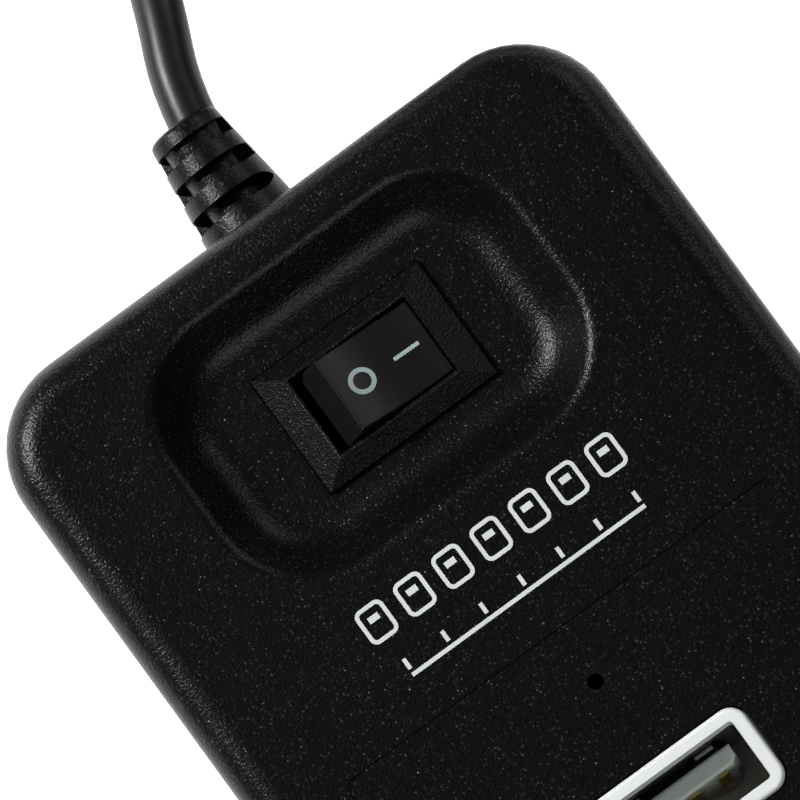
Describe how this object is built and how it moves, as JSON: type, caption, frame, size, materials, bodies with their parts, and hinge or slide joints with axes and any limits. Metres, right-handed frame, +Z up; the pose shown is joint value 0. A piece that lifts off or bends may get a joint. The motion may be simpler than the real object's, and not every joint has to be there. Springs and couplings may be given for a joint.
{
  "type": "usb hub",
  "caption": "Strip-shaped USB hub: one row of upright sockets in a flat casing, a rocker switch in a dish, and a tied cord with a plug.",
  "frame": {"origin": "under the middle of the casing, on the plane of the feet", "axes": "+Y along the strip towards the cord, +X across the row of sockets, +Z up"},
  "size_m": [0.0865, 0.2712, 0.0237],
  "materials": {
    "casing_plastic": "black ABS with a fine spark-eroded grain",
    "white_plastic": "white moulded plastic, semi-gloss",
    "socket_steel": "nickel-plated sheet steel",
    "tongue_plastic": "pale natural nylon",
    "gold_contact": "gold-flashed spring bronze",
    "switch_plastic": "black nylon, fine grain",
    "rocker_plastic": "black nylon, smooth satin",
    "rubber": "black soft PVC",
    "cord_jacket": "black PVC, satin",
    "plug_plastic": "black moulded PVC, matt",
    "tie_plastic": "black plastic-covered wire tie",
    "board_green": "green solder mask on glass epoxy",
    "chip_black": "moulded epoxy",
    "can_metal": "drawn aluminium can",
    "screw_steel": "zinc-plated steel",
    "tinned_metal": "tinned copper",
    "led_lens": "red diffused epoxy",
    "lead_insulation": "PVC insulation"
  },
  "bodies": {
    "casing": {"board_screws": "screw_steel", "bottom_shell": "casing_plastic", "capacitors": "can_metal", "case_screws": "screw_steel", "circuit_board": "board_green", "cord": "cord_jacket", "cord_coil": "cord_jacket", "cord_leads": "lead_insulation", "cord_tail": "cord_jacket", "cord_tie": "tie_plastic", "crystals": "can_metal", "hub_chips": "chip_black", "indicator_led": "led_lens", "inlet_body": "chip_black", "inlet_pins": "tinned_metal", "led_legs": "tinned_metal", "plug_contacts": "gold_contact", "plug_insulator": "tongue_plastic", "plug_overmould": "plug_plastic", "plug_shell": "socket_steel", "port_contacts_1": "gold_contact", "port_contacts_2": "gold_contact", "port_contacts_3": "gold_contact", "port_contacts_4": "gold_contact", "port_contacts_5": "gold_contact", "port_contacts_6": "gold_contact", "port_contacts_7": "gold_contact", "port_frame_1": "white_plastic", "port_frame_2": "white_plastic", "port_frame_3": "white_plastic", "port_frame_4": "white_plastic", "port_frame_5": "white_plastic", "port_frame_6": "white_plastic", "port_frame_7": "white_plastic", "port_shell_1": "socket_steel", "port_shell_2": "socket_steel", "port_shell_3": "socket_steel", "port_shell_4": "socket_steel", "port_shell_5": "socket_steel", "port_shell_6": "socket_steel", "port_shell_7": "socket_steel", "port_tongue_1": "tongue_plastic", "port_tongue_2": "tongue_plastic", "port_tongue_3": "tongue_plastic", "port_tongue_4": "tongue_plastic", "port_tongue_5": "tongue_plastic", "port_tongue_6": "tongue_plastic", "port_tongue_7": "tongue_plastic", "resistors": "chip_black", "rubber_feet": "rubber", "strain_relief": "rubber", "switch_housing": "switch_plastic", "switch_leads": "lead_insulation", "switch_terminals": "tinned_metal", "top_shell": "casing_plastic"},
    "rocker": {"switch_rocker": "rocker_plastic", "switch_plunger": "tongue_plastic", "switch_spring": "screw_steel"},
    "contact_arm": {"contact_arm": "gold_contact"}
  },
  "joints": [
    {"name": "rocker_tilt", "type": "hinge", "parent": "casing", "child": "rocker", "pos_m": [0, 0.0871, 0.0184], "axis": [0, -1, 0], "range_deg": [0, 30]},
    {"name": "contact_tilt", "type": "hinge", "parent": "casing", "child": "contact_arm", "pos_m": [0, 0.0871, 0.013], "axis": [0, 1, 0], "range_deg": [0, 16]}
  ],
  "couplings": [
    {"joint": "contact_tilt", "follows": "rocker_tilt", "ratio": 0.53333}
  ]
}
